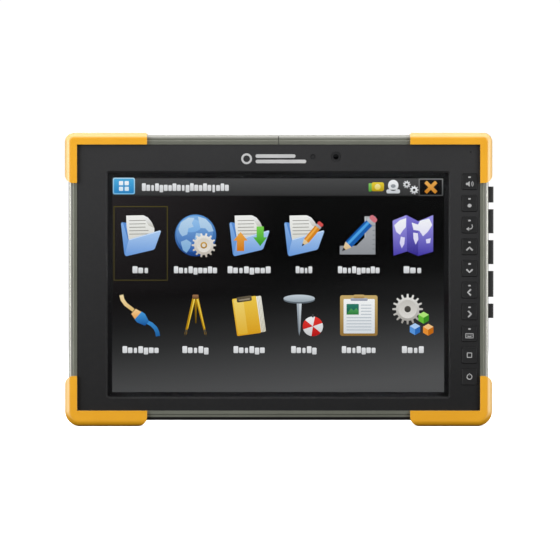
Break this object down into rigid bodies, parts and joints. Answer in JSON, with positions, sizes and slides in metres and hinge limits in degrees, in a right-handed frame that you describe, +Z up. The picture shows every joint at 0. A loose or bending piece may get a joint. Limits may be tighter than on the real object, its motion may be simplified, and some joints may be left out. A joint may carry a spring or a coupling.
{
  "type": "rugged tablet data collector",
  "caption": "Rugged tablet data collector with corner bumpers, a framed touch screen, side function keys, hinged port covers and a removable battery pack.",
  "frame": {"origin": "on the surface the tablet stands on, under the middle of its body, with the tablet upright on its lower bumpers", "axes": "+Z up along the screen's height, +X to the right as the screen is looked at, +Y from the screen towards the back; the screen faces -Y"},
  "size_m": [0.2792, 0.025, 0.191],
  "materials": {
    "bezel_plastic": "matte",
    "cover_glass": "clear",
    "display": "gloss",
    "rail_metal": "satin",
    "bumper_rubber": "matte",
    "key_rubber": "matte",
    "port_rubber": "matte",
    "cover_plastic": "textured",
    "panel_plastic": "matte",
    "battery_plastic": "matte",
    "steel": "satin",
    "black_steel": "satin",
    "brass": "satin",
    "contact_metal": "polished",
    "circuit_board": "satin",
    "copper": "satin",
    "magnesium": "matte",
    "seal_rubber": "matte",
    "antenna_ceramic": "matte",
    "lens_glass": "clear",
    "flash_plastic": "gloss",
    "module_plastic": "matte"
  },
  "bodies": {
    "housing": {"front_bezel": "bezel_plastic", "cover_glass": "cover_glass", "glass_seal": "seal_rubber", "display_panel": "display", "chassis": "magnesium", "back_cover": "cover_plastic", "cover_seal": "seal_rubber", "rail_top_left": "rail_metal", "rail_top_right": "rail_metal", "rail_left": "rail_metal", "rail_right": "rail_metal", "rail_bottom": "rail_metal", "bumper_top_left": "bumper_rubber", "bumper_top_right": "bumper_rubber", "bumper_bottom_left": "bumper_rubber", "bumper_bottom_right": "bumper_rubber", "bumper_screws": "black_steel", "cover_screws": "black_steel", "keypad_domes": "seal_rubber", "keypad_board": "circuit_board", "front_camera": "module_plastic", "light_sensor": "module_plastic", "microphone": "contact_metal", "port_panel": "panel_plastic", "port_hinge_pins": "steel", "io_board": "circuit_board", "main_board": "circuit_board", "heat_spreader": "copper", "storage_module": "circuit_board", "radio_module": "steel", "position_antenna": "antenna_ceramic", "rear_camera": "module_plastic", "rear_camera_window": "lens_glass", "flash_lens": "flash_plastic", "speakers": "module_plastic", "bracket_inserts": "brass", "dock_connector": "module_plastic", "dock_contacts": "contact_metal", "battery_connector": "module_plastic", "battery_bay": "panel_plastic", "port_sockets": "steel"},
    "key_01": {"key_01": "key_rubber"},
    "key_02": {"key_02": "key_rubber"},
    "key_03": {"key_03": "key_rubber"},
    "key_04": {"key_04": "key_rubber"},
    "key_05": {"key_05": "key_rubber"},
    "key_06": {"key_06": "key_rubber"},
    "key_07": {"key_07": "key_rubber"},
    "key_08": {"key_08": "key_rubber"},
    "key_09": {"key_09": "key_rubber"},
    "key_10": {"key_10": "key_rubber"},
    "audio_cover": {"audio_cover": "port_rubber"},
    "usb_upper_cover": {"usb_upper_cover": "port_rubber"},
    "usb_lower_cover": {"usb_lower_cover": "port_rubber"},
    "video_cover": {"video_cover": "port_rubber"},
    "power_cover": {"power_cover": "port_rubber"},
    "battery_pack": {"battery_pack": "battery_plastic"},
    "battery_screw_left": {"battery_screw_left": "steel"},
    "battery_screw_right": {"battery_screw_right": "steel"}
  },
  "joints": [
    {"name": "key_01_press", "type": "slide", "parent": "housing", "child": "key_01", "axis": [0, 1, 0], "range_m": [0, 0.0005], "stiffness_N_per_m": 1000, "springref_m": -0.0008},
    {"name": "key_02_press", "type": "slide", "parent": "housing", "child": "key_02", "axis": [0, 1, 0], "range_m": [0, 0.0005], "stiffness_N_per_m": 1000, "springref_m": -0.0008},
    {"name": "key_03_press", "type": "slide", "parent": "housing", "child": "key_03", "axis": [0, 1, 0], "range_m": [0, 0.0005], "stiffness_N_per_m": 1000, "springref_m": -0.0008},
    {"name": "key_04_press", "type": "slide", "parent": "housing", "child": "key_04", "axis": [0, 1, 0], "range_m": [0, 0.0005], "stiffness_N_per_m": 1000, "springref_m": -0.0008},
    {"name": "key_05_press", "type": "slide", "parent": "housing", "child": "key_05", "axis": [0, 1, 0], "range_m": [0, 0.0005], "stiffness_N_per_m": 1000, "springref_m": -0.0008},
    {"name": "key_06_press", "type": "slide", "parent": "housing", "child": "key_06", "axis": [0, 1, 0], "range_m": [0, 0.0005], "stiffness_N_per_m": 1000, "springref_m": -0.0008},
    {"name": "key_07_press", "type": "slide", "parent": "housing", "child": "key_07", "axis": [0, 1, 0], "range_m": [0, 0.0005], "stiffness_N_per_m": 1000, "springref_m": -0.0008},
    {"name": "key_08_press", "type": "slide", "parent": "housing", "child": "key_08", "axis": [0, 1, 0], "range_m": [0, 0.0005], "stiffness_N_per_m": 1000, "springref_m": -0.0008},
    {"name": "key_09_press", "type": "slide", "parent": "housing", "child": "key_09", "axis": [0, 1, 0], "range_m": [0, 0.0005], "stiffness_N_per_m": 1000, "springref_m": -0.0008},
    {"name": "key_10_press", "type": "slide", "parent": "housing", "child": "key_10", "axis": [0, 1, 0], "range_m": [0, 0.0005], "stiffness_N_per_m": 1000, "springref_m": -0.0008},
    {"name": "audio_cover_hinge", "type": "hinge", "parent": "housing", "child": "audio_cover", "pos_m": [0.1384, 0.0075, 0.1509], "axis": [0, 0, 1], "range_deg": [0, 110]},
    {"name": "usb_upper_cover_hinge", "type": "hinge", "parent": "housing", "child": "usb_upper_cover", "pos_m": [0.1384, 0.0075, 0.13345], "axis": [0, 0, 1], "range_deg": [0, 110]},
    {"name": "usb_lower_cover_hinge", "type": "hinge", "parent": "housing", "child": "usb_lower_cover", "pos_m": [0.1384, 0.0075, 0.1133], "axis": [0, 0, 1], "range_deg": [0, 110]},
    {"name": "video_cover_hinge", "type": "hinge", "parent": "housing", "child": "video_cover", "pos_m": [0.1384, 0.0075, 0.09255], "axis": [0, 0, 1], "range_deg": [0, 110]},
    {"name": "power_cover_hinge", "type": "hinge", "parent": "housing", "child": "power_cover", "pos_m": [0.1384, 0.0075, 0.075], "axis": [0, 0, 1], "range_deg": [0, 110]},
    {"name": "battery_slide", "type": "slide", "parent": "housing", "child": "battery_pack", "axis": [0, 1, 0], "range_m": [0, 0.024]},
    {"name": "battery_screw_left_turn", "type": "hinge", "parent": "battery_pack", "child": "battery_screw_left", "pos_m": [-0.0758, 0.0094, 0.053], "axis": [0, 1, 0], "continuous": true},
    {"name": "battery_screw_right_turn", "type": "hinge", "parent": "battery_pack", "child": "battery_screw_right", "pos_m": [0.0758, 0.0094, 0.053], "axis": [0, 1, 0], "continuous": true}
  ]
}
